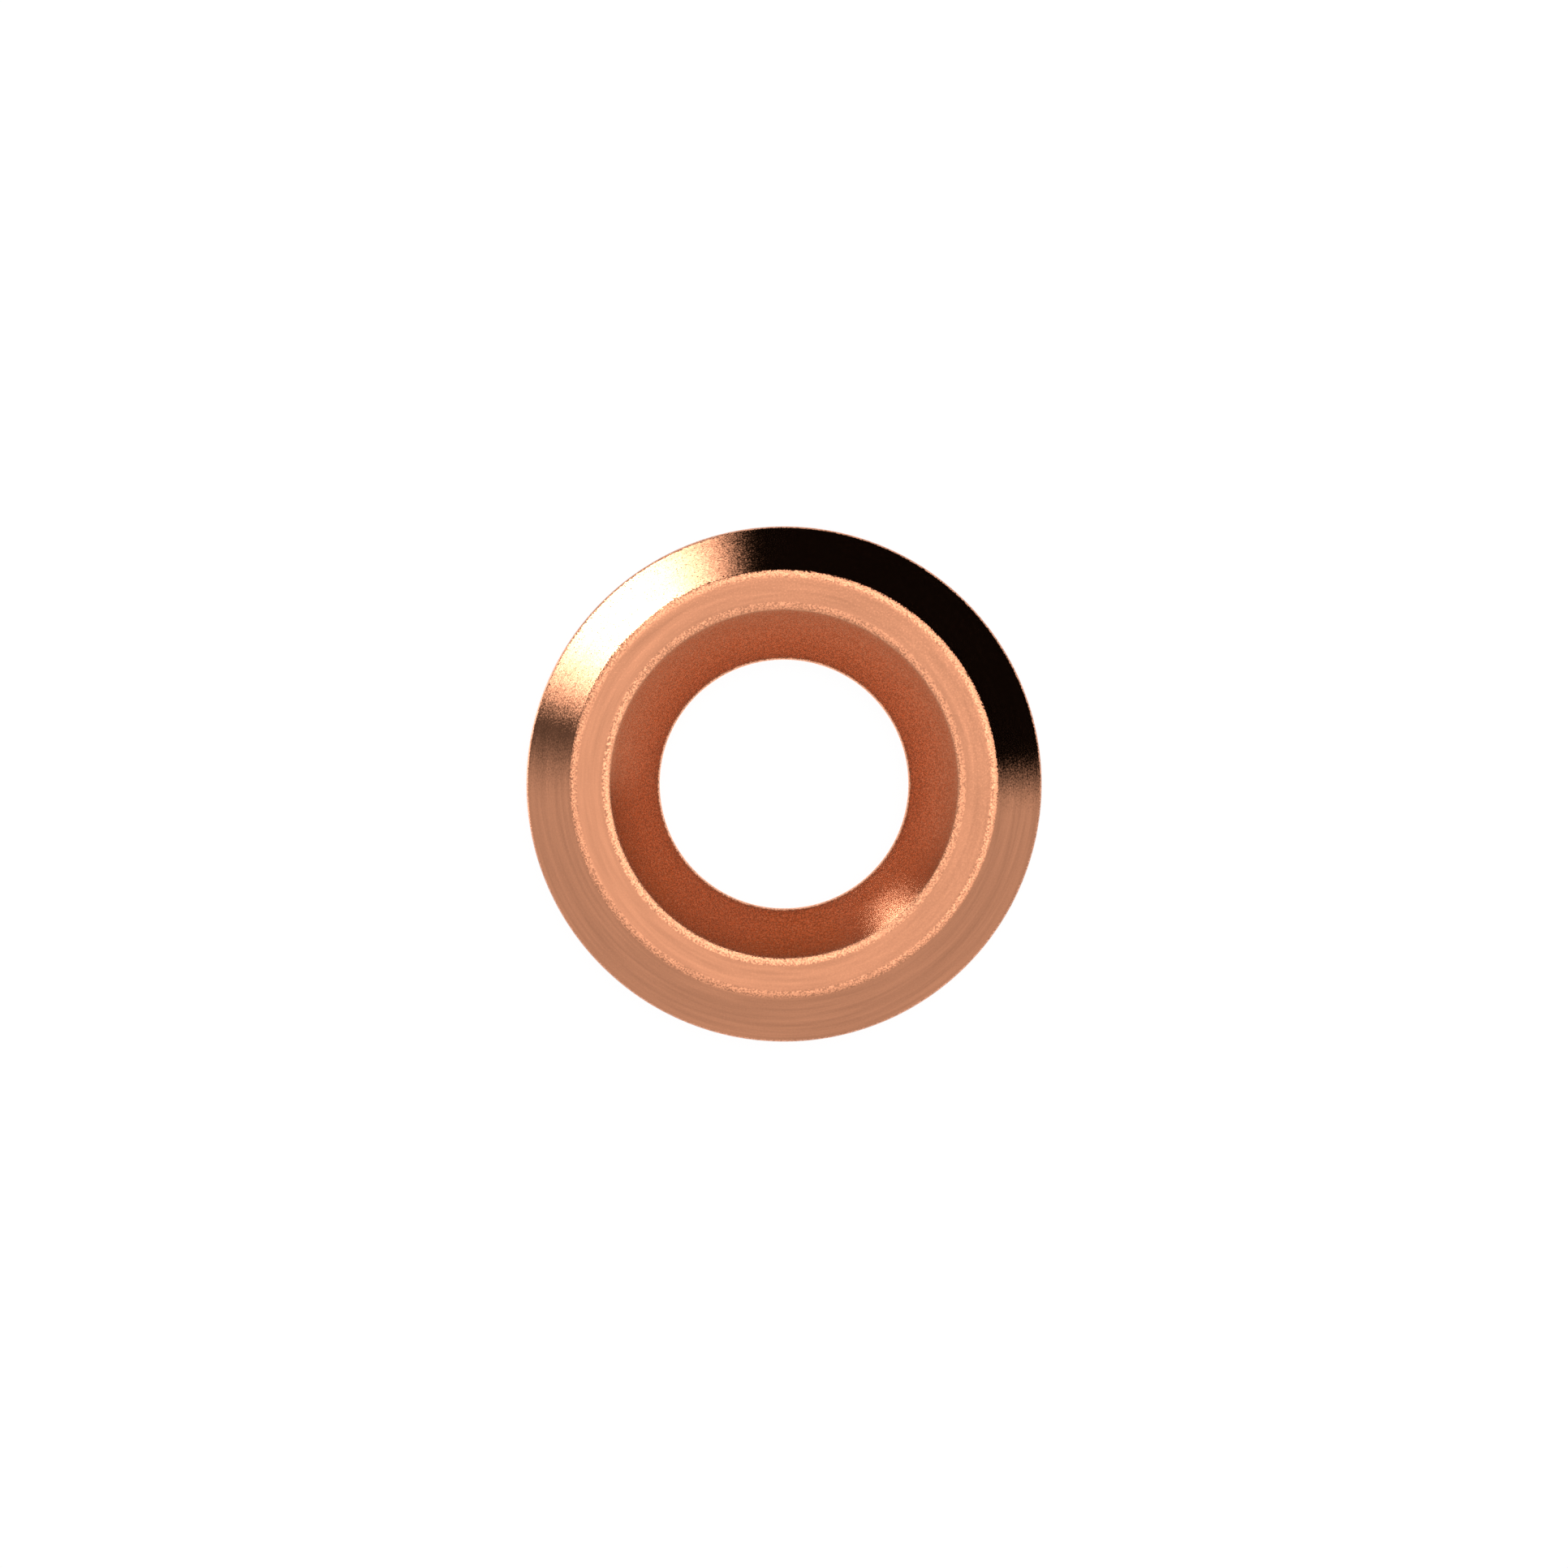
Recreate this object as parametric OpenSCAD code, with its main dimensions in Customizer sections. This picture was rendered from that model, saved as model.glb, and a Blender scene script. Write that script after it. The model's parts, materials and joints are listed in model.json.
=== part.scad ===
// Metal sealing washer, turned in one piece: a narrow flat land stands between
// the outer flank and the conical mouth of the bore, over a plain flat underside.

/* [Ring] */
// Outside diameter over the straight rim
outside_d = 17; // [16.4:0.1:17.6]

// Diameter of the straight bore
bore_d = 8.2; // [7.9:0.1:8.8]

// Thickness from the flat underside to the land
thickness = 2.4; // [2.2:0.1:4]

/* [Sealing land] */
// Outer diameter of the land, measured where flank and land would meet sharp
land_outer_d = 13.7; // [13.2:0.1:14.4]

// Inner diameter of the land, measured where mouth and land would meet sharp
land_inner_d = 11.5; // [10.6:0.1:11.8]

/* [Cones] */
// Slope of the outer flank, measured from the land
flank_angle = 45; // [25:1:47]

// Slope of the bore's conical mouth, measured from the land
mouth_angle = 47; // [25:1:48]

/* [Edges] */
// Radius that rounds the two edges of the land
land_edge_r = 0.42; // [0.1:0.02:0.5]

// Radius that rounds the edges where the cones meet the rim and the bore
side_edge_r = 0.3; // [0.1:0.02:0.36]

// Radius that breaks the two edges of the underside
break_r = 0.12; // [0.04:0.02:0.18]

/* [Hidden] */
$fn = 144;

copper = [0.86, 0.58, 0.44];

// Overlap of each corner's circle with the faces it runs into, so that they join
overlap = 0.00002;

outside_r = outside_d / 2;
bore_r = bore_d / 2;
land_outer_r = land_outer_d / 2;
land_inner_r = land_inner_d / 2;

// Heights at which the flank reaches the rim and the mouth reaches the bore
rim_top_z = thickness - (outside_r - land_outer_r) * tan(flank_angle);
bore_top_z = thickness - (land_inner_r - bore_r) * tan(mouth_angle);

// Corners of the section as [radius, height], each with the radius that rounds it
corners = [
    [[bore_r, 0], break_r],
    [[outside_r, 0], break_r],
    [[outside_r, rim_top_z], side_edge_r],
    [[land_outer_r, thickness], land_edge_r],
    [[land_inner_r, thickness], land_edge_r],
    [[bore_r, bore_top_z], side_edge_r],
];
last = len(corners) - 1;

function corner(i) = corners[(i + len(corners)) % len(corners)][0];
function round_r(i) = corners[i][1];
function unit(v) = v / norm(v);

// Directions from a corner along the two faces that meet there
function along(i) = [unit(corner(i - 1) - corner(i)), unit(corner(i + 1) - corner(i))];
function half_angle(i) = acos(along(i)[0] * along(i)[1]) / 2;

// Distance from a corner to the points where its arc runs into the faces
function setback(i) = round_r(i) / tan(half_angle(i));
function arc_centre(i) =
    corner(i) + unit(along(i)[0] + along(i)[1]) * round_r(i) / sin(half_angle(i));

// Half of the washer's section: a polygon through the ends of the arcs, with a
// circle in each corner that fills the arc out
module section() {
    polygon([for (i = [0 : last], side = along(i)) corner(i) + side * setback(i)]);
    for (i = [0 : last])
        translate(arc_centre(i)) circle(r = round_r(i) + overlap);
}

module washer() {
    color(copper) rotate_extrude() section();
}

washer();
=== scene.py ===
"""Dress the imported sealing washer: a finely turned copper ring in a bright studio."""

import json
import logging
import math
from dataclasses import dataclass
from enum import Enum

import bmesh
import bpy
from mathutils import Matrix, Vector


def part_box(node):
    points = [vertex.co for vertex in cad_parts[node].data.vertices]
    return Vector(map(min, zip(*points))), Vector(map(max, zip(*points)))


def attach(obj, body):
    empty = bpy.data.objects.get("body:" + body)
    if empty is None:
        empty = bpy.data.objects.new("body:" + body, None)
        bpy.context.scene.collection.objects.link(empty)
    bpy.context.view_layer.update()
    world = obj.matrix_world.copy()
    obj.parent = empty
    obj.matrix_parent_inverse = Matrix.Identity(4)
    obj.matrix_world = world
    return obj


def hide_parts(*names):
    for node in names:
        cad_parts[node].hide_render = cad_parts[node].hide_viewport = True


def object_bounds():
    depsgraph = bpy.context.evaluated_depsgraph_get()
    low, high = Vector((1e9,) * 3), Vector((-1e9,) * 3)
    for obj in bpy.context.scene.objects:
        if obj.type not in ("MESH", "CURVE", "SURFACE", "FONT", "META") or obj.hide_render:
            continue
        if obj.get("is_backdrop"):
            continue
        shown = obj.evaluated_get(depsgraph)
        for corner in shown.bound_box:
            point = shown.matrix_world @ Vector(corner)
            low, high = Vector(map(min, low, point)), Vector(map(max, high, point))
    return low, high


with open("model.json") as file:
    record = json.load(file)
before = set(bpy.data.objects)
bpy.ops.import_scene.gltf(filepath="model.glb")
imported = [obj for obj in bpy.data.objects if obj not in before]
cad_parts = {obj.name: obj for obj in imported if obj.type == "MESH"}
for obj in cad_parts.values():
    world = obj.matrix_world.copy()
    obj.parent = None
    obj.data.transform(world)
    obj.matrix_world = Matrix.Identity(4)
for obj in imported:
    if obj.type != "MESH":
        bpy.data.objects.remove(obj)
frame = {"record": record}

LOG = logging.getLogger("sealing_washer")
MM = 0.001
WHITE = (1.0, 1.0, 1.0, 1.0)
NOISE_MIDDLE = 0.5
STOCK_OBJECTS = ("Cube", "Light", "Camera")
Colour = tuple[float, float, float]
Inputs = dict[int | str, object]
Node = bpy.types.Node
Socket = bpy.types.NodeSocket
BMVert = bmesh.types.BMVert


class Sum(Enum):
    """What a Math node does with its numbers."""

    ADD = "ADD"
    TAKE = "SUBTRACT"
    TIMES = "MULTIPLY"
    OVER = "DIVIDE"
    UNDER = "LESS_THAN"
    SIZE = "ABSOLUTE"
    ANGLE = "ARCTAN2"
    RISE = "ARCSINE"
    FALL = "ARCCOSINE"
    WAVE = "SINE"
    WRAP = "WRAP"


class Move(Enum):
    """What a Vector Math node does with its vectors."""

    ADD = "ADD"
    TAKE = "SUBTRACT"
    STRETCH = "SCALE"
    UNIT = "NORMALIZE"
    LENGTH = "LENGTH"


class Mixed(Enum):
    """What a Mix node mixes: its type, and the places of its inputs and its output."""

    NUMBERS = ("FLOAT", 2, 3, 0)
    COLOURS = ("RGBA", 6, 7, 2)


class Kind(Enum):
    """What a group's socket carries."""

    NUMBER = "NodeSocketFloat"
    VECTOR = "NodeSocketVector"


class Board:
    """A node tree that is laid out with short calls."""

    def __init__(self, tree: bpy.types.NodeTree) -> None:
        """Take over a node tree and empty it.

        Args:
            tree: The node tree that the calls add to.
        """
        self.tree = tree
        tree.nodes.clear()

    def add(self, kind: str, inputs: Inputs | None = None, **settings: object) -> Node:
        """Add a node.

        Args:
            kind: The node's type name.
            inputs: Socket name or place, and the value or the output that feeds it.
            **settings: Properties of the node.

        Returns:
            The new node.
        """
        node = self.tree.nodes.new(kind)
        for name, value in settings.items():
            setattr(node, name, value)
        for name, value in (inputs or {}).items():
            self.feed(value, node.inputs[name])
        return node

    def feed(self, value: object, socket: Socket) -> None:
        """Link an output to a socket, or set the socket to a plain value.

        Args:
            value: The output or the value.
            socket: The socket.
        """
        if isinstance(value, Socket):
            self.tree.links.new(value, socket)
        else:
            socket.default_value = value

    def sum(self, what: Sum, *numbers: object) -> Socket:
        """Work out one Math node.

        Args:
            what: The operation.
            *numbers: Its numbers, each a value or an output.

        Returns:
            The output that holds the result.
        """
        inputs = dict(enumerate(numbers))
        return self.add("ShaderNodeMath", inputs, operation=what.value).outputs[0]

    def move(self, what: Move, inputs: Inputs) -> Socket:
        """Work out one Vector Math node.

        Args:
            what: The operation.
            inputs: Socket name or place, and the value or the output that feeds it.

        Returns:
            The output that holds the result, a number where it is a length.
        """
        node = self.add("ShaderNodeVectorMath", inputs, operation=what.value)
        return node.outputs["Value" if what is Move.LENGTH else "Vector"]

    def split(self, vector: Socket) -> tuple[Socket, Socket, Socket]:
        """Take a vector apart into its three numbers."""
        x, y, z = self.add("ShaderNodeSeparateXYZ", {0: vector}).outputs
        return x, y, z

    def coordinates(self) -> Socket:
        """Give the place on the object in its own coordinates."""
        return self.add("ShaderNodeTexCoord").outputs["Object"]

    def ramp(self, value: Socket, start: float, end: float) -> Socket:
        """Run smoothly from 0 at start to 1 at end.

        Args:
            value: The output that is read.
            start: Value at which the result is 0.
            end: Value at which the result is 1.

        Returns:
            The output that holds the result.
        """
        node = self.add(
            "ShaderNodeMapRange",
            {"Value": value, "From Min": start, "From Max": end},
            interpolation_type="SMOOTHSTEP",
        )
        return node.outputs["Result"]

    def blend(
        self,
        share: Socket,
        first: object,
        second: object,
        what: Mixed = Mixed.NUMBERS,
    ) -> Socket:
        """Pass from a first value to a second as a share goes from 0 to 1.

        Args:
            share: The share.
            first: The value or the output at 0.
            second: The value or the output at 1.
            what: Whether they are numbers or colours.

        Returns:
            The output that holds the result.
        """
        kind, low, high, result = what.value
        inputs = {0: share, low: first, high: second}
        return self.add("ShaderNodeMix", inputs, data_type=kind).outputs[result]

    def cover(self, share: Socket, first: Node, second: Node) -> Node:
        """Pass from a first shader to a second as a share goes from 0 to 1."""
        shaders = {1: first.outputs[0], 2: second.outputs[0]}
        return self.add("ShaderNodeMixShader", {0: share, **shaders})


@dataclass(frozen=True)
class Panel:
    """A light or a dark card that stands round the washer.

    Attributes:
        name: What the panel is.
        azimuth: Direction of its middle in degrees, anticlockwise from +X.
        half_width: Half of its width in degrees.
        side_feather: Width of its soft upright edges in degrees.
        elevation: Height of its middle above the horizon in degrees.
        half_height: Half of its height in degrees.
        top_feather: Width of its soft level edges in degrees.
        level: Its brightness.
    """

    name: str
    azimuth: float
    half_width: float
    side_feather: float
    elevation: float
    half_height: float
    top_feather: float
    level: float

    def share(self, board: Board, azimuth: Socket, height: Socket) -> Socket:
        """Mask the panel.

        Args:
            board: The world's board.
            azimuth: Output with a direction's azimuth in radians.
            height: Output with a direction's elevation in radians.

        Returns:
            The output that is 1 on the panel and 0 away from it.
        """
        turned = board.sum(Sum.TAKE, azimuth, math.radians(self.azimuth))
        lifted = board.sum(Sum.TAKE, height, math.radians(self.elevation))
        aside = board.sum(Sum.SIZE, board.sum(Sum.WRAP, turned, math.pi, -math.pi))
        above = board.sum(Sum.SIZE, lifted)
        across = self.fade(board, aside, self.half_width, self.side_feather)
        upright = self.fade(board, above, self.half_height, self.top_feather)
        return board.sum(Sum.TIMES, across, upright)

    def fade(
        self, board: Board, distance: Socket, half: float, feather: float
    ) -> Socket:
        """Fade out over a soft edge, half of which lies inside the panel.

        Args:
            board: The world's board.
            distance: Output with the distance from the panel's middle in radians.
            half: Half of the panel's size in degrees.
            feather: Width of the soft edge in degrees.

        Returns:
            The output that is 1 within the edge and 0 beyond it.
        """
        outside = math.radians(half + feather / 2)
        inside = math.radians(half - feather / 2)
        return board.ramp(distance, outside, inside)


@dataclass(frozen=True)
class StudioWorld:
    """Pale surroundings with panels, which light the washer and show in its metal.

    Attributes:
        surround: Elevations in degrees, each with the brightness there, from below up.
        panels: The panels, each in front of those before it.
        backdrop: Brightness of the surroundings where the camera sees them.
    """

    surround: tuple[tuple[float, float], ...] = (
        (-40.0, 1.1),
        (-14.0, 0.78),
        (-2.0, 0.78),
        (6.0, 0.93),
        (66.0, 1.39),
        (90.0, 1.18),
    )
    panels: tuple[Panel, ...] = (
        Panel("back light", 150.0, 45.0, 40.0, 46.0, 20.0, 30.0, 1.6),
        Panel("fill light", 50.0, 73.0, 92.0, 38.0, 23.5, 30.0, 2.35),
        Panel("top light", 85.0, 78.0, 60.0, 75.5, 6.0, 7.0, 1.6),
        Panel("table glow", 168.0, 18.0, 16.0, -38.0, 22.0, 14.0, 2.2),
        Panel("grey card", 140.0, 34.5, 20.0, -6.0, 9.5, 5.0, 0.12),
        Panel("grey card head", 126.0, 31.0, 12.0, 3.0, 6.0, 5.0, 0.12),
        Panel("black card", 51.7, 51.9, 14.0, -4.5, 14.5, 5.0, 0.002),
        Panel("key light", 132.5, 18.5, 31.0, -4.5, 4.0, 4.0, 9.6),
        Panel("key light top", 130.4, 4.5, 4.0, 2.3, 4.0, 3.0, 12.5),
    )
    backdrop: float = 1.0

    def build(self) -> None:
        """Make the world.

        Only the camera sees it plain white. The metal sees the studio's cards and lamps
        instead, because its light and dark fields are their reflections, and a white
        all round would wash them out.
        """
        world = bpy.data.worlds.new("studio")
        world.use_nodes = True
        board = Board(world.node_tree)
        lit, seen = (
            board.add("ShaderNodeBackground", {"Color": WHITE, "Strength": strength})
            for strength in (self.level(board), self.backdrop)
        )
        straight = board.add("ShaderNodeLightPath").outputs["Is Camera Ray"]
        sky = board.cover(straight, lit, seen)
        board.add("ShaderNodeOutputWorld", {"Surface": sky.outputs[0]})
        bpy.context.scene.world = world

    def level(self, board: Board) -> Socket:
        """Work out how bright the studio is in each direction.

        Args:
            board: The world's board.

        Returns:
            The output that holds the brightness.
        """
        x, y, z = board.split(board.add("ShaderNodeTexCoord").outputs["Generated"])
        azimuth = board.sum(Sum.ANGLE, y, x)
        height = board.sum(Sum.RISE, z)
        level: float | Socket = self.surround[0][1]
        for (start, _), (end, brightness) in zip(self.surround, self.surround[1:]):
            rise = board.ramp(height, math.radians(start), math.radians(end))
            level = board.blend(rise, level, brightness)
        for panel in self.panels:
            share = panel.share(board, azimuth, height)
            level = board.blend(share, level, panel.level)
        return level


@dataclass(frozen=True)
class StudioFloor:
    """The pale table top, which keeps a faint shadow of the washer.

    Attributes:
        half_size: Half of its width.
        gap: Distance that keeps it clear of the washer's underside.
        colour: Colour of its surface.
        own_white: Share of its white that is its own, where the camera sees it.
        painted_patch_r: Radius of the patch inside the bore that shows in the metal, a
            sheet of painted light and shade in place of the floor under the washer.
        glow: Painted brightness of that patch where the metal sees it from above.
        shade: Painted shade of that patch where the metal sees it at a low angle.
        steep: How far a ray may lean, from 0 upright to 1 level, and see all the glow.
        shallow: How far a ray has to lean to see the shade alone.
    """

    half_size: float = 2.0
    gap: float = 0.02 * MM
    colour: Colour = (0.9, 0.9, 0.9)
    own_white: float = 0.95
    painted_patch_r: float = 4.3 * MM
    glow: float = 1.4
    shade: float = 0.09
    steep: float = 0.5
    shallow: float = 0.87

    def build(self) -> None:
        """Lay the floor under the washer."""
        sheet = bmesh.new()
        bmesh.ops.create_grid(sheet, x_segments=1, y_segments=1, size=self.half_size)
        bmesh.ops.translate(sheet, verts=sheet.verts, vec=(0, 0, -self.gap))
        mesh = bpy.data.meshes.new("floor")
        sheet.to_mesh(mesh)
        sheet.free()
        mesh.materials.append(self.material())
        floor = bpy.data.objects.new("floor", mesh)
        bpy.context.scene.collection.objects.link(floor)
        floor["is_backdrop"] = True

    def material(self) -> bpy.types.Material:
        """Make the floor's material.

        The camera sees it white from above and looks through it from below. The metal
        looks through it at the studio's cards and lamps, whose light comes through it
        too, apart from the patch that the bore encloses, which shows the metal painted
        light and shade in place of the floor under the washer.

        Returns:
            The material.
        """
        material = bpy.data.materials.new("pale_floor")
        material.use_nodes = True
        board = Board(material.node_tree)
        path = board.add("ShaderNodeLightPath").outputs
        lit = board.add("ShaderNodeBsdfDiffuse", {"Color": (*self.colour, 1.0)})
        own = board.add("ShaderNodeEmission", {"Color": WHITE, "Strength": 1.0})
        share = board.sum(Sum.TIMES, path["Is Camera Ray"], self.own_white)
        white = board.cover(share, lit, own)
        # painted light and shade: inside the bore the floor shows the metal a set glow,
        # dimmed to a painted shade for rays that lean
        strength = self.painted_patch_level(board)
        patch = board.add("ShaderNodeEmission", {"Color": WHITE, "Strength": strength})
        clear = board.add("ShaderNodeBsdfTransparent")
        away = board.move(Move.LENGTH, {0: board.coordinates()})
        inside = board.sum(Sum.UNDER, away, self.painted_patch_r)
        glimpse = board.cover(inside, clear, patch)
        metal = board.sum(Sum.ADD, path["Is Glossy Ray"], path["Is Shadow Ray"])
        above = board.cover(metal, white, glimpse)
        below = board.add("ShaderNodeNewGeometry").outputs["Backfacing"]
        surface = board.cover(below, above, clear)
        board.add("ShaderNodeOutputMaterial", {"Surface": surface.outputs[0]})
        return material

    def painted_patch_level(self, board: Board) -> Socket:
        """Work out the patch's painted brightness, which falls to a painted shade where a
        ray leans.

        Args:
            board: The material's board.

        Returns:
            The output that holds the brightness.
        """
        lean = board.add("ShaderNodeLayerWeight").outputs["Facing"]
        low = board.ramp(lean, self.steep, self.shallow)
        return board.blend(low, self.glow, self.shade)


@dataclass(frozen=True)
class StudioCamera:
    """The camera that hangs straight above the washer.

    Attributes:
        frame_px: Width of the photograph in pixels.
        washer_px: Width of the washer in those pixels, taken at the land's distance.
        distance_px: Height above the land in the same pixels.
        sensor: Width of the sensor in millimetres.
        near: Distance from which it sees, in widths of the washer.
    """

    frame_px: float = 1932.0
    washer_px: float = 646.8
    distance_px: float = 3640.0
    sensor: float = 36.0
    near: float = 0.1

    def build(self, width: float, land_z: float) -> None:
        """Hang the camera.

        Args:
            width: Outside diameter of the washer.
            land_z: Height of its land.
        """
        data = bpy.data.cameras.new("camera")
        data.sensor_width = self.sensor
        data.lens = self.sensor * self.distance_px / self.frame_px
        data.clip_start = width * self.near
        camera = bpy.data.objects.new("camera", data)
        camera.location = (0, 0, land_z + self.distance_px * width / self.washer_px)
        bpy.context.scene.collection.objects.link(camera)
        bpy.context.scene.camera = camera


class Effect:
    """A shader node group that materials place with values of their own."""

    def __init__(
        self, name: str, inputs: tuple[str, ...], outputs: dict[str, Kind]
    ) -> None:
        """Make the group with its sockets.

        Args:
            name: The group's name.
            inputs: Name of each number that goes in.
            outputs: Name of each result that comes out, and what it is.
        """
        self.tree = bpy.data.node_groups.new(name, "ShaderNodeTree")
        self.board = Board(self.tree)
        sockets = [(label, "INPUT", Kind.NUMBER) for label in inputs]
        sockets += [(label, "OUTPUT", kind) for label, kind in outputs.items()]
        for label, side, kind in sockets:
            self.tree.interface.new_socket(label, in_out=side, socket_type=kind.value)
        self.given = self.board.add("NodeGroupInput").outputs

    def give(self, results: dict[str, Socket]) -> None:
        """Send results out of the group."""
        self.board.add("NodeGroupOutput", results)

    def place(self, board: Board, values: dict[str, float]) -> Node:
        """Put the effect into a material with its own values."""
        return board.add("ShaderNodeGroup", values, node_tree=self.tree)


def turning_marks(detail: float = 2.0, roughness: float = 0.6) -> Effect:
    """Make the fine rings that a lathe tool leaves, long arcs that start and fade.

    Args:
        detail: How many finer layers the noise has that makes them.
        roughness: How strong each of these is next to the one before.

    Returns:
        The effect. It takes the rings' Pitch and how often their Arcs change on the
        way round, and gives a Height of about 0 to 1.
    """
    effect = Effect("turning_marks", ("Pitch", "Arcs"), {"Height": Kind.NUMBER})
    board = effect.board
    pitch, arcs = effect.given["Pitch"], effect.given["Arcs"]
    x, y, z = board.split(board.coordinates())
    flat = board.add("ShaderNodeCombineXYZ", {"X": x, "Y": y}).outputs[0]
    radius = board.move(Move.LENGTH, {0: flat})
    cos, sin, _ = board.split(board.move(Move.UNIT, {0: flat}))
    track = board.add(
        "ShaderNodeCombineXYZ",
        {
            "X": board.sum(Sum.OVER, radius, pitch),
            "Y": board.sum(Sum.TIMES, cos, arcs),
            "Z": board.sum(Sum.TIMES, sin, arcs),
        },
    ).outputs[0]
    rings = board.add(
        "ShaderNodeTexNoise",
        {
            "Vector": track,
            "W": board.sum(Sum.OVER, z, pitch),
            "Scale": 1.0,
            "Detail": detail,
            "Roughness": roughness,
        },
        noise_dimensions="4D",
    )
    effect.give({"Height": rings.outputs["Fac"]})
    return effect


def metal_grain() -> Effect:
    """Make the fine grain of a satin metal face, which leans it from dot to dot.

    Returns:
        The effect. It takes the Scale of the dots. Its Lean is an offset of the normal,
        about 0.1 long, and its Spot is about -0.1 on a dull dot and 0.1 on a bright one.
    """
    results = {"Lean": Kind.VECTOR, "Spot": Kind.NUMBER}
    effect = Effect("metal_grain", ("Scale",), results)
    board = effect.board
    dots = board.add(
        "ShaderNodeTexNoise",
        {"Vector": board.coordinates(), "Scale": effect.given["Scale"], "Detail": 0.0},
    ).outputs
    middle = (NOISE_MIDDLE, NOISE_MIDDLE, NOISE_MIDDLE)
    lean = board.move(Move.TAKE, {0: dots["Color"], 1: middle})
    spot = board.sum(Sum.TAKE, dots["Fac"], NOISE_MIDDLE)
    effect.give({"Lean": lean, "Spot": spot})
    return effect


def round_edges(waves: float = 4.0, start: float = 0.1, full: float = 0.5) -> Effect:
    """Mask the round edges between faces that lie flat, stand, or slope half way.

    Args:
        waves: Waves of a sine in a full turn, so many that it is zero on such faces.
        start: Size of the sine from which a place counts as an edge.
        full: Size from which it counts in full.

    Returns:
        The effect, whose Edge is 1 along the middle of an edge and near 0 on the faces.
    """
    effect = Effect("round_edges", (), {"Edge": Kind.NUMBER})
    board = effect.board
    _, _, up = board.split(board.add("ShaderNodeTexCoord").outputs["Normal"])
    slope = board.sum(Sum.FALL, up)
    wave = board.sum(Sum.WAVE, board.sum(Sum.TIMES, slope, waves))
    effect.give({"Edge": board.ramp(board.sum(Sum.SIZE, wave), start, full)})
    return effect


@dataclass(frozen=True)
class CopperFinish:
    """Satin copper as it comes off the lathe, rougher on its round edges.

    Attributes:
        name: The material's name.
        colour: Colour of the bare metal.
        streaks: How much lighter and darker the turning marks make it.
        roughness: Roughness of the faces.
        edge_roughness: How much rougher the edges are.
        ring_pitch: Distance between turning marks.
        ring_arcs: How often they change on the way round.
        ring_depth: Depth of the turning marks.
        grain_size: Width of a dot of the grain.
        lean: How far the grain leans the faces.
        edge_lean: How much further it leans the edges.
        spots: How much of the streaks' range the grain's dots add on the faces.
        edge_spots: How much more they add on the edges.
    """

    name: str
    colour: Colour = (0.62, 0.262, 0.143)
    streaks: float = 0.3
    roughness: float = 0.1
    edge_roughness: float = 0.1
    ring_pitch: float = 0.2 * MM
    ring_arcs: float = 2.0
    ring_depth: float = 0.0005 * MM
    grain_size: float = 0.055 * MM
    lean: float = 0.13
    edge_lean: float = 0.4
    spots: float = 0.25
    edge_spots: float = 2.3

    def build(self, rings: Effect, grain: Effect, edges: Effect) -> bpy.types.Material:
        """Make the material.

        Args:
            rings: The turning marks.
            grain: The metal's grain.
            edges: The mask of the round edges.

        Returns:
            The material.
        """
        material = bpy.data.materials.new(self.name)
        material.use_nodes = True
        board = Board(material.node_tree)
        marks = {"Pitch": self.ring_pitch, "Arcs": self.ring_arcs}
        turned = rings.place(board, marks).outputs["Height"]
        dots = grain.place(board, {"Scale": 1 / self.grain_size}).outputs
        edge = edges.place(board, {}).outputs["Edge"]
        bend = self.more(board, edge, self.lean, self.edge_lean)
        relief = {"Distance": self.ring_depth, "Height": turned}
        cut = board.add("ShaderNodeBump", relief).outputs[0]
        normal = self.tip(board, cut, dots["Lean"], bend)
        rough = self.more(board, edge, self.roughness, self.edge_roughness)
        metal = board.add(
            "ShaderNodeBsdfPrincipled",
            {
                "Base Color": self.tint(board, turned, edge, dots["Spot"]),
                "Metallic": 1.0,
                "Roughness": rough,
                "Normal": self.finish(board, normal, grain),
            },
        )
        board.add("ShaderNodeOutputMaterial", {"Surface": metal.outputs[0]})
        return material

    def tint(self, board: Board, turned: Socket, edge: Socket, spot: Socket) -> Socket:
        """Work out the metal's colour, in streaks along its rings and in dots.

        Args:
            board: The material's board.
            turned: Height of the turning marks.
            edge: The mask of the round edges.
            spot: Dullness and brightness of the grain's dots.

        Returns:
            The output that holds the colour.
        """
        amount = self.more(board, edge, self.spots, self.edge_spots)
        share = board.sum(Sum.ADD, turned, board.sum(Sum.TIMES, spot, amount))
        dark, light = self.shade(1 - self.streaks), self.shade(1 + self.streaks)
        return board.blend(share, dark, light, Mixed.COLOURS)

    def finish(self, board: Board, normal: Socket, grain: Effect) -> Socket:
        """Leave the normal as the turning marks and the dots make it."""
        return normal

    def tip(
        self, board: Board, normal: Socket, lean: Socket, amount: float | Socket
    ) -> Socket:
        """Lean a normal.

        Args:
            board: The material's board.
            normal: The normal.
            lean: Lean of the grain's dots.
            amount: How much of it is used.

        Returns:
            The output that holds the new normal.
        """
        offset = board.move(Move.STRETCH, {0: lean, "Scale": amount})
        leaning = board.move(Move.ADD, {0: normal, 1: offset})
        return board.move(Move.UNIT, {0: leaning})

    def more(self, board: Board, edge: Socket, faces: float, extra: float) -> Socket:
        """Pass from a value on the faces to a greater one on the edges."""
        return board.sum(Sum.ADD, board.sum(Sum.TIMES, edge, extra), faces)

    def shade(self, share: float) -> tuple[float, float, float, float]:
        """Make the metal's colour lighter or darker."""
        red, green, blue = self.colour
        return (red * share, green * share, blue * share, 1.0)


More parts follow.
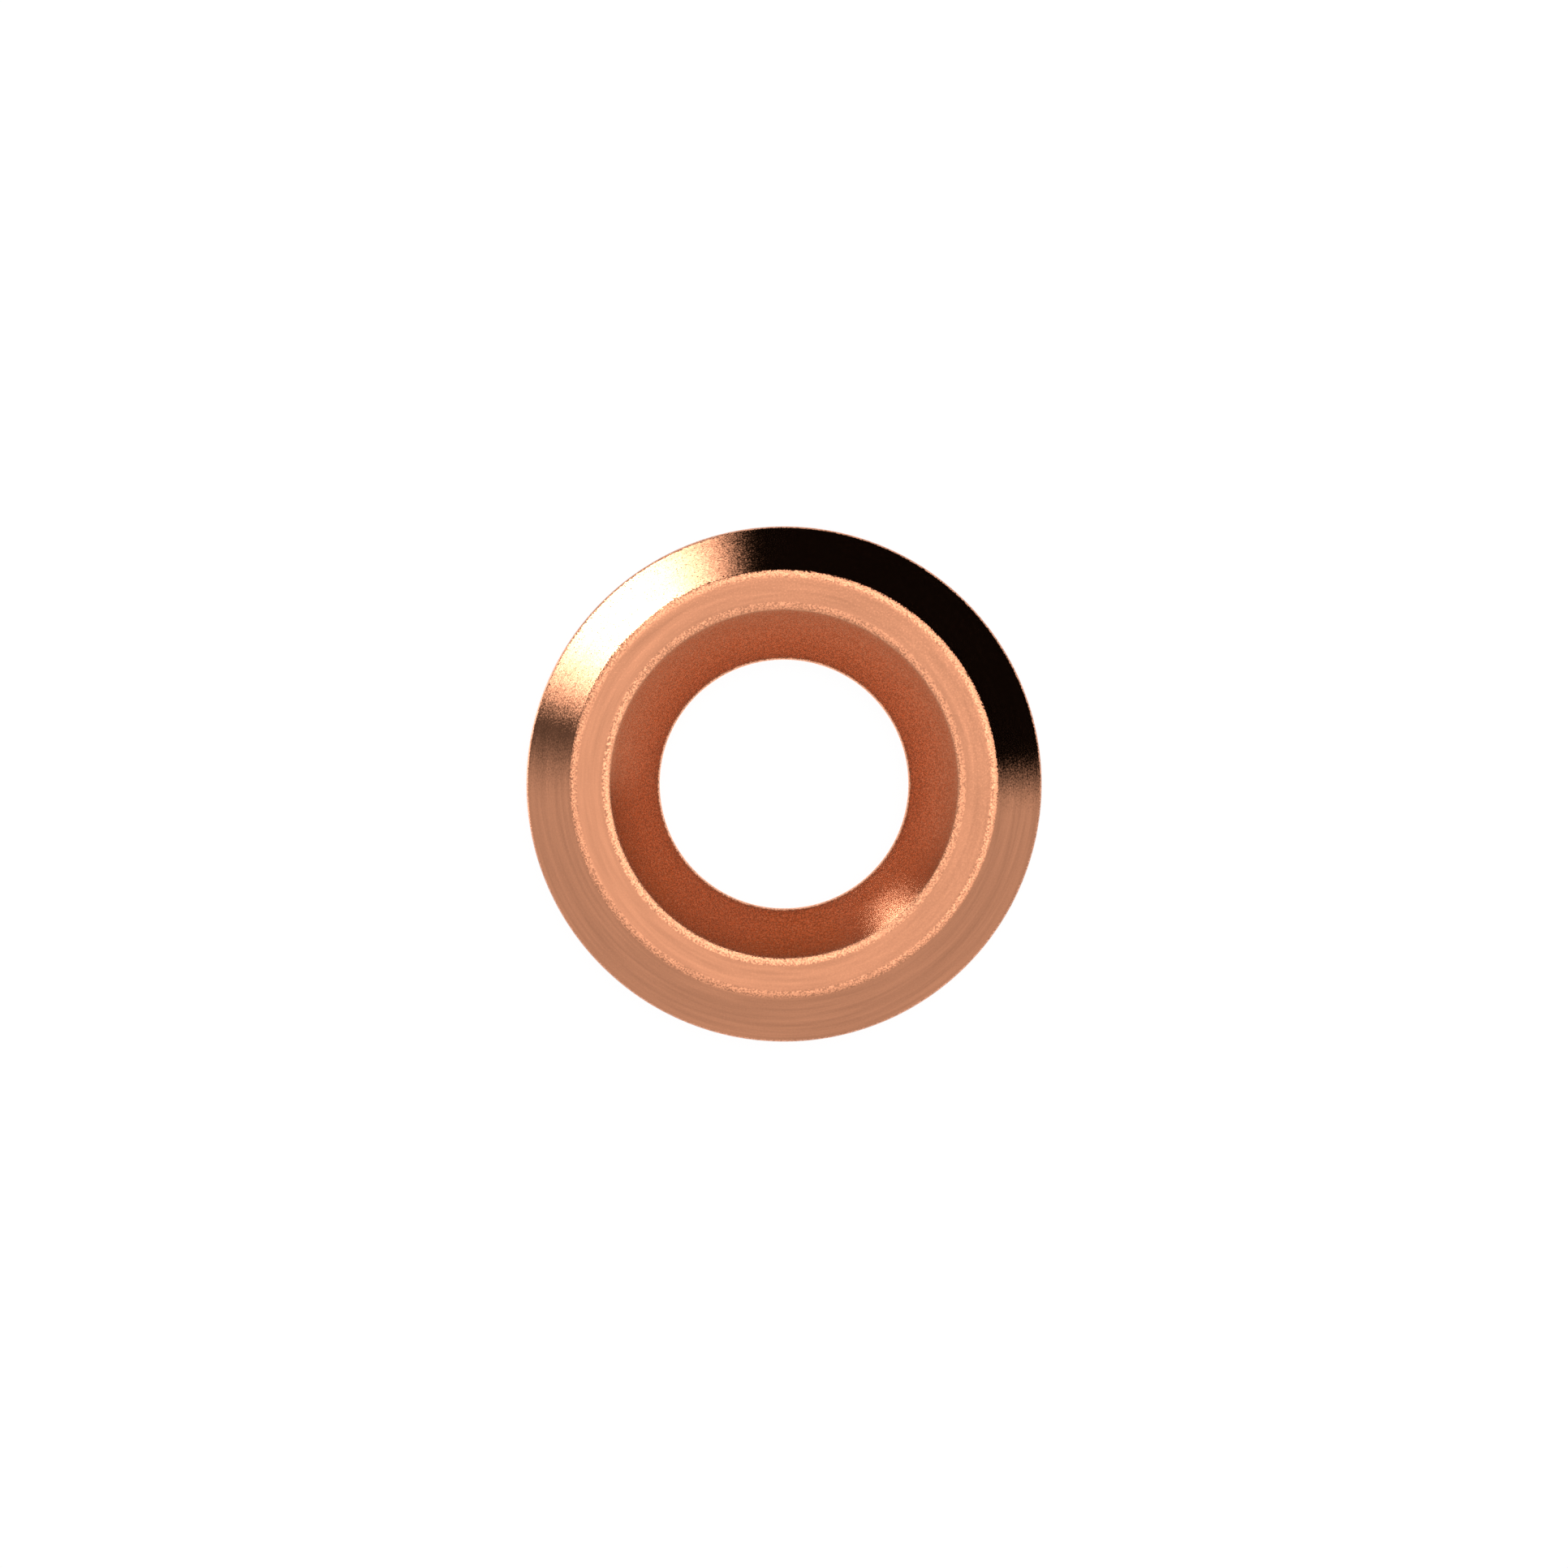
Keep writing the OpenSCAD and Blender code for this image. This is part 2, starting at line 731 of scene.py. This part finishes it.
@dataclass(frozen=True)
class MouthFinishAndShade(CopperFinish):
    """Bored copper, with a haze of its own, and plainer towards the land, where its colour
    darkens as a painted shade.

    Attributes:
        haze_size: Width of the haze's grain, which is too fine to see.
        haze: How far it leans the face.
        darkened: Share of its colour that it would keep where the painted shade is
            deepest.
        unshaded_z: Height below which its colour carries no painted shade.
        deepest_shade_z: Height, above the land, at which the painted shade would be
            deepest.
    """

    haze_size: float = 0.011 * MM
    haze: float = 0.38
    darkened: float = 0.69
    unshaded_z: float = 0.7 * MM
    deepest_shade_z: float = 3.2 * MM

    def tint(self, board: Board, turned: Socket, edge: Socket, spot: Socket) -> Socket:
        """Work out the colour, which loses its dots and darkens as a painted shade towards
        the land.

        Args:
            board: The material's board.
            turned: Height of the turning marks.
            edge: The mask of the round edges.
            spot: Dullness and brightness of the grain's dots.

        Returns:
            The output that holds the colour.
        """
        metal = super().tint(board, turned, edge, spot)
        _, _, z = board.split(board.coordinates())
        # painted shade: the mouth's colour darkens, and goes plain, from unshaded_z up
        # towards deepest_shade_z
        rise = board.ramp(z, self.unshaded_z, self.deepest_shade_z)
        return board.blend(rise, metal, self.shade(self.darkened), Mixed.COLOURS)

    def finish(self, board: Board, normal: Socket, grain: Effect) -> Socket:
        """Spread what the face reflects by leaning it in a finer grain."""
        haze = grain.place(board, {"Scale": 1 / self.haze_size}).outputs["Lean"]
        return self.tip(board, normal, haze, self.haze)


@dataclass(frozen=True)
class WasherRing:
    """The washer as one finely spun ring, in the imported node's place and form.

    The node's own mesh shows its facets in so smooth a metal, so this one replaces it.

    Attributes:
        outside_r: Radius of the straight rim.
        bore_r: Radius of the straight bore.
        thickness: Height of the land above the underside.
        land_outer_r: Radius where flank and land would meet sharp.
        land_inner_r: Radius where mouth and land would meet sharp.
        flank_angle: Slope of the outer flank in degrees.
        mouth_angle: Slope of the bore's mouth in degrees.
        land_edge_r: Radius of the land's two edges.
        side_edge_r: Radius of the edges where the cones meet the rim and the bore.
        break_r: Radius of the two edges of the underside.
        steps: Faces round the ring.
        edge_steps: Faces across a rounded edge.
        face_length: Length of a face along the section.
        merge: Distance below which two vertices are one.
        bored_start: How far inwards of the land's sharp inner corner the bored finish
            starts, as a share of the width of the edge that rounds it.
    """

    outside_r: float
    bore_r: float
    thickness: float
    land_outer_r: float = 6.85 * MM
    land_inner_r: float = 5.75 * MM
    flank_angle: float = 45.0
    mouth_angle: float = 47.0
    land_edge_r: float = 0.42 * MM
    side_edge_r: float = 0.3 * MM
    break_r: float = 0.12 * MM
    steps: int = 256
    edge_steps: int = 12
    face_length: float = 0.16 * MM
    merge: float = 0.0001 * MM
    bored_start: float = 0.25

    def corners(self) -> list[tuple[float, float, float]]:
        """List the section's sharp corners.

        Returns:
            Each corner's radius, its height and the radius that rounds it.
        """
        flank_width = self.outside_r - self.land_outer_r
        mouth_width = self.land_inner_r - self.bore_r
        flank = flank_width * math.tan(math.radians(self.flank_angle))
        mouth = mouth_width * math.tan(math.radians(self.mouth_angle))
        return [
            (self.bore_r, 0.0, self.break_r),
            (self.outside_r, 0.0, self.break_r),
            (self.outside_r, self.thickness - flank, self.side_edge_r),
            (self.land_outer_r, self.thickness, self.land_edge_r),
            (self.land_inner_r, self.thickness, self.land_edge_r),
            (self.bore_r, self.thickness - mouth, self.side_edge_r),
        ]

    def build(self) -> bpy.types.Object:
        """Spin the section, whose arcs are spun first.

        Returns:
            The ring. Its bore and mouth are in the second material's place.
        """
        ring = bmesh.new()
        arcs = [self.arc(ring, place) for place in range(len(self.corners()))]
        for (_, end), (start, _) in zip(arcs, arcs[1:] + arcs[:1]):
            ring.edges.new((end, start))
        for cuts in {self.cuts(edge) for edge in ring.edges} - {0}:
            sides = [edge for edge in ring.edges if self.cuts(edge) == cuts]
            bmesh.ops.subdivide_edges(ring, edges=sides, cuts=cuts)
        bmesh.ops.spin(
            ring,
            geom=ring.verts[:] + ring.edges[:],
            cent=(0, 0, 0),
            axis=(0, 0, 1),
            angle=2 * math.pi,
            steps=self.steps,
            use_merge=True,
        )
        bmesh.ops.remove_doubles(ring, verts=ring.verts, dist=self.merge)
        bmesh.ops.recalc_face_normals(ring, faces=ring.faces)
        for face in ring.faces:
            face.smooth = True
            face.material_index = int(self.is_bored(face))
        mesh = bpy.data.meshes.new("copper_ring")
        ring.to_mesh(mesh)
        ring.free()
        washer = bpy.data.objects.new("copper_ring", mesh)
        bpy.context.scene.collection.objects.link(washer)
        return washer

    def sides(self, place: int) -> list[Vector]:
        """Find the directions in which the section leaves a corner.

        Args:
            place: Which of the corners it is.

        Returns:
            The directions to the corners before and after it.
        """
        corners = [Vector((radius, 0, height)) for radius, height, _ in self.corners()]
        around = (corners[place - 1], corners[(place + 1) % len(corners)])
        return [(other - corners[place]).normalized() for other in around]

    def arc(self, ring: bmesh.types.BMesh, place: int) -> tuple[BMVert, BMVert]:
        """Spin the arc that rounds a corner of the section.

        Args:
            ring: The ring.
            place: Which of the corners to round.

        Returns:
            The arc's first and last vertex, in the order of the corners.
        """
        radius, height, round_r = self.corners()[place]
        corner = Vector((radius, 0, height))
        before, after = self.sides(place)
        half = before.angle(after) / 2
        start = ring.verts.new(corner + before * round_r / math.tan(half))
        spun = bmesh.ops.spin(
            ring,
            geom=[start],
            cent=corner + (before + after).normalized() * round_r / math.sin(half),
            axis=(0, -1, 0),
            angle=math.pi - 2 * half,
            steps=self.edge_steps,
        )
        end = next(part for part in spun["geom_last"] if isinstance(part, BMVert))
        return start, end

    def cuts(self, edge: bmesh.types.BMEdge) -> int:
        """Count the cuts that make an edge as short as a face."""
        return max(round(edge.calc_length() / self.face_length) - 1, 0)

    def is_bored(self, face: bmesh.types.BMFace) -> bool:
        """Tell whether a face has the bored finish.

        Args:
            face: A face of the ring.

        Returns:
            Whether it faces inwards and lies in the bore, in its mouth or on the lowest
            part of the land's inner edge.
        """
        middle = face.calc_center_median()
        outward = Vector((middle.x, middle.y, 0))
        edge = self.land_edge_r * math.sin(math.radians(self.mouth_angle))
        limit = self.land_inner_r - edge * self.bored_start
        return outward.length < limit and face.normal.dot(outward) < 0


class Washer:
    """The sealing washer with a finish on its turned outside and one, with a painted
    shade, in its bore.
    """

    finishes = (
        CopperFinish("turned_copper"),
        MouthFinishAndShade("bored_copper_and_shade", streaks=0.2, lean=0.02, spots=4.4),
    )

    def __init__(self) -> None:
        """Take the washer's sizes from the frame."""
        low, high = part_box("washer")
        bore = next(m for m in frame["record"]["mounts"] if m["name"] == "bore")
        self.ring = WasherRing(
            outside_r=(high.x - low.x) / 2,
            bore_r=bore["dims"]["r_mm"] * MM,
            thickness=high.z - low.z,
        )

    def build(self) -> bpy.types.Object:
        """Build the ring in the node's place and dress it.

        Returns:
            The finished ring.
        """
        ring = self.ring.build()
        effects = turning_marks(), metal_grain(), round_edges()
        for finish in self.finishes:
            ring.data.materials.append(finish.build(*effects))
        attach(ring, "root")
        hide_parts("washer")
        return ring


def clear_stock() -> None:
    """Take out the things that a new file starts with."""
    for name in STOCK_OBJECTS:
        stock = bpy.data.objects.get(name)
        if stock:
            bpy.data.objects.remove(stock)


def main() -> None:
    """Build the washer and its studio in order."""
    logging.basicConfig(level=logging.INFO, format="%(message)s")
    clear_stock()
    cad_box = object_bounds()
    ring = Washer().build()
    LOG.info("%s: %d faces", ring.name, len(ring.data.polygons))
    studio = StudioWorld()
    studio.build()
    LOG.info("studio: %s", ", ".join(panel.name for panel in studio.panels))
    StudioFloor().build()
    low, high = cad_box
    StudioCamera().build(high.x - low.x, high.z)
    bpy.context.scene.view_settings.view_transform = "Standard"


if __name__ == "__main__":
    main()
